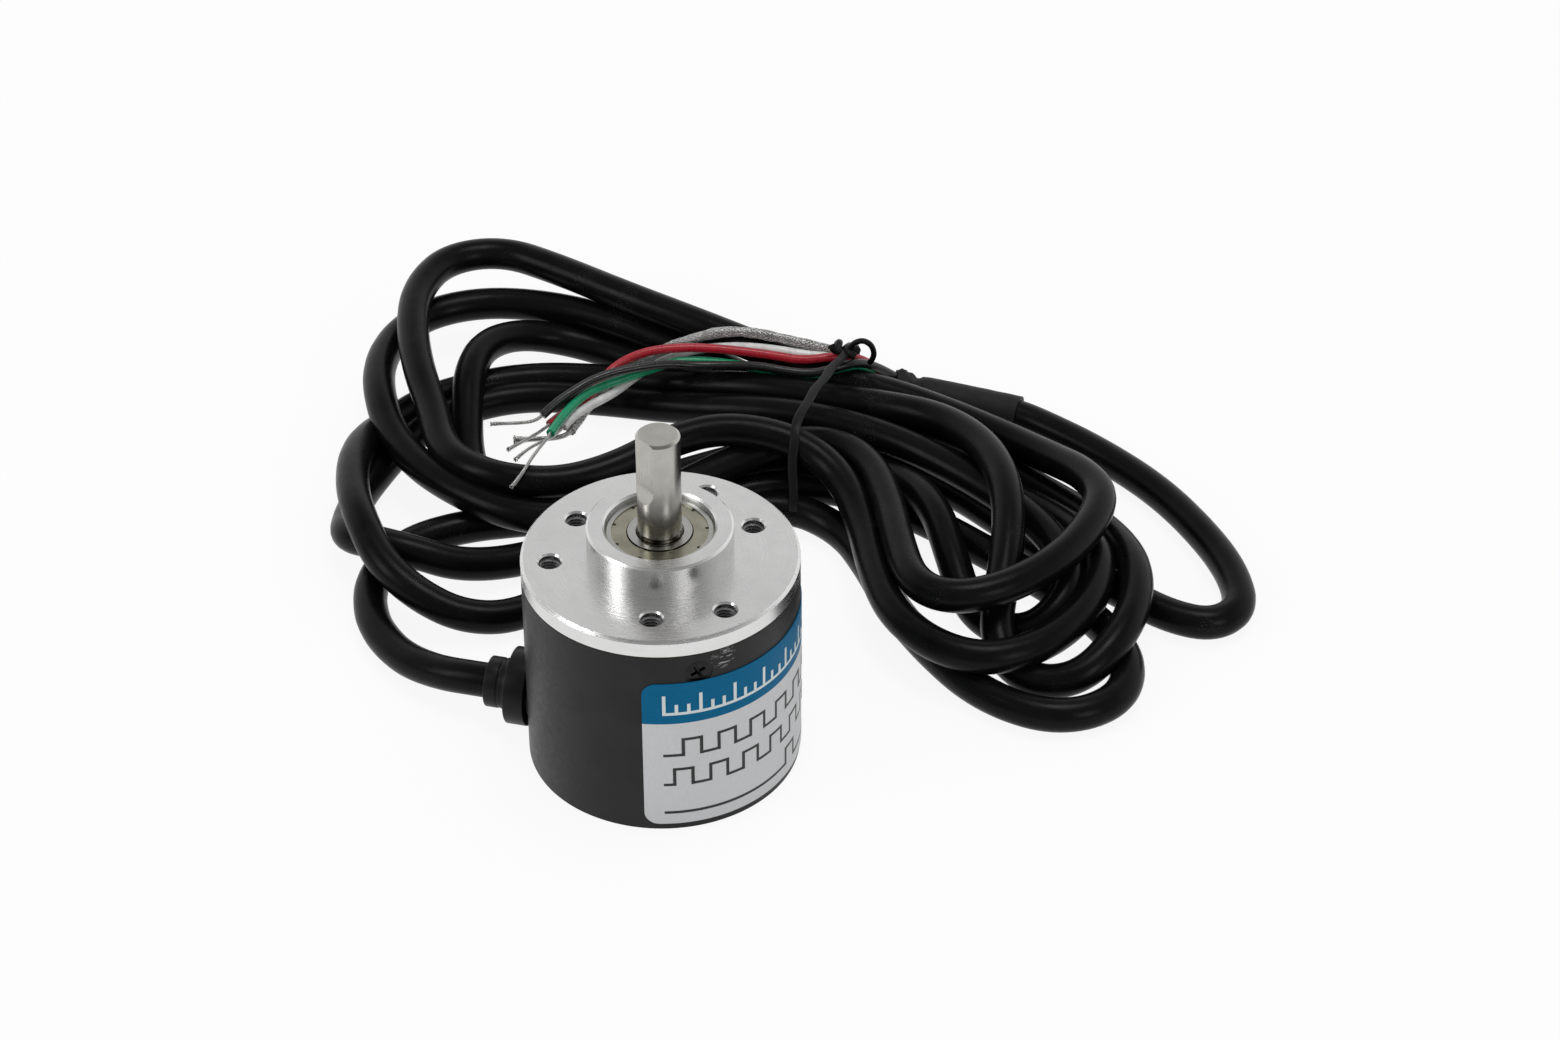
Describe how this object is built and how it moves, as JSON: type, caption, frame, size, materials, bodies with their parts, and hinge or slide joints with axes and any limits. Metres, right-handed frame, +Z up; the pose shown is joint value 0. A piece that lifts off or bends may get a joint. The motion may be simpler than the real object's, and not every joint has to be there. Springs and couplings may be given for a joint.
{
  "type": "rotary encoder",
  "caption": "Round rotary encoder with a flatted shaft, locating boss, tapped face flange, black cover, side cable gland and a tied hank of cable with stripped wires.",
  "frame": {"origin": "centre of the cover's base, on the shaft's axis", "axes": "+Z up the shaft, away from the base; the cable leaves the side towards -X; the hank lies towards +Y"},
  "size_m": [0.1434, 0.1163, 0.053],
  "materials": {
    "anodised_alloy": "fine satin, clear anodised",
    "cover_black": "satin black with light scratches",
    "plated_steel": "bright plated",
    "shaft_steel": "ground, warm grey",
    "bearing_steel": "ground and polished",
    "shield_steel": "pressed sheet",
    "cage_steel": "pressed sheet",
    "spring_steel": "spring temper",
    "label_film": "silver-grey film with a blue band",
    "collar_alloy": "turned",
    "code_glass": "clear with a dark track",
    "board_laminate": "green solder mask",
    "brass_turned": "turned",
    "chip_black": "moulded",
    "mask_black": "matt",
    "capacitor_can": "drawn can",
    "resistor_body": "glazed",
    "header_white": "moulded",
    "gland_black": "satin black",
    "crimp_steel": "crimped",
    "jacket_black": "satin black vinyl",
    "sleeve_black": "shrunk matt tube",
    "tie_black": "flat vinyl tie",
    "insulation_black": "satin",
    "insulation_green": "satin",
    "insulation_red": "satin",
    "insulation_white": "satin",
    "core_wires": "five insulated cores",
    "tinned_copper": "tinned strands"
  },
  "bodies": {
    "housing": {"flange_housing": "anodised_alloy", "cover_can": "cover_black", "cover_screws": "plated_steel", "side_label": "label_film", "outer_spacer": "collar_alloy", "wave_washer": "spring_steel", "circuit_board": "board_laminate", "board_posts": "brass_turned", "board_screws": "plated_steel", "photo_sensor": "chip_black", "mask_plate": "mask_black", "emitter_bracket": "collar_alloy", "light_emitter": "chip_black", "interface_chip": "chip_black", "smoothing_capacitor": "capacitor_can", "chip_resistors": "resistor_body", "wire_header": "header_white", "inner_wires": "core_wires", "cable_gland": "gland_black", "cable_ferrule": "crimp_steel", "cord_stub": "jacket_black", "cord_lead": "jacket_black", "cord_hank": "jacket_black", "cord_tail": "jacket_black", "heat_shrink_sleeve": "sleeve_black", "twist_tie": "tie_black", "wire_black": "insulation_black", "wire_green": "insulation_green", "wire_red": "insulation_red", "wire_white": "insulation_white", "shield_braid": "tinned_copper", "strands_black": "tinned_copper", "strands_green": "tinned_copper", "strands_red": "tinned_copper", "strands_white": "tinned_copper", "braid_tip": "tinned_copper", "front_bearing_outer_ring": "bearing_steel", "front_bearing_upper_shield": "shield_steel", "front_bearing_lower_shield": "shield_steel", "rear_bearing_outer_ring": "bearing_steel", "rear_bearing_upper_shield": "shield_steel", "rear_bearing_lower_shield": "shield_steel"},
    "rotor": {"shaft": "shaft_steel", "disc_collar": "collar_alloy", "collar_set_screw": "spring_steel", "code_disc": "code_glass", "retaining_clip": "spring_steel", "inner_spacer": "collar_alloy", "front_bearing_inner_ring": "bearing_steel", "rear_bearing_inner_ring": "bearing_steel"},
    "ball_sets": {"front_bearing_balls": "bearing_steel", "rear_bearing_balls": "bearing_steel", "front_bearing_cage": "cage_steel", "rear_bearing_cage": "cage_steel"}
  },
  "joints": [
    {"name": "shaft_spin", "type": "hinge", "parent": "housing", "child": "rotor", "pos_m": [0, 0, 0.038], "axis": [0, 0, 1], "continuous": true},
    {"name": "cage_spin", "type": "hinge", "parent": "housing", "child": "ball_sets", "pos_m": [0, 0, 0.032], "axis": [0, 0, 1], "continuous": true}
  ],
  "couplings": [
    {"joint": "cage_spin", "follows": "shaft_spin", "ratio": 0.38667}
  ]
}
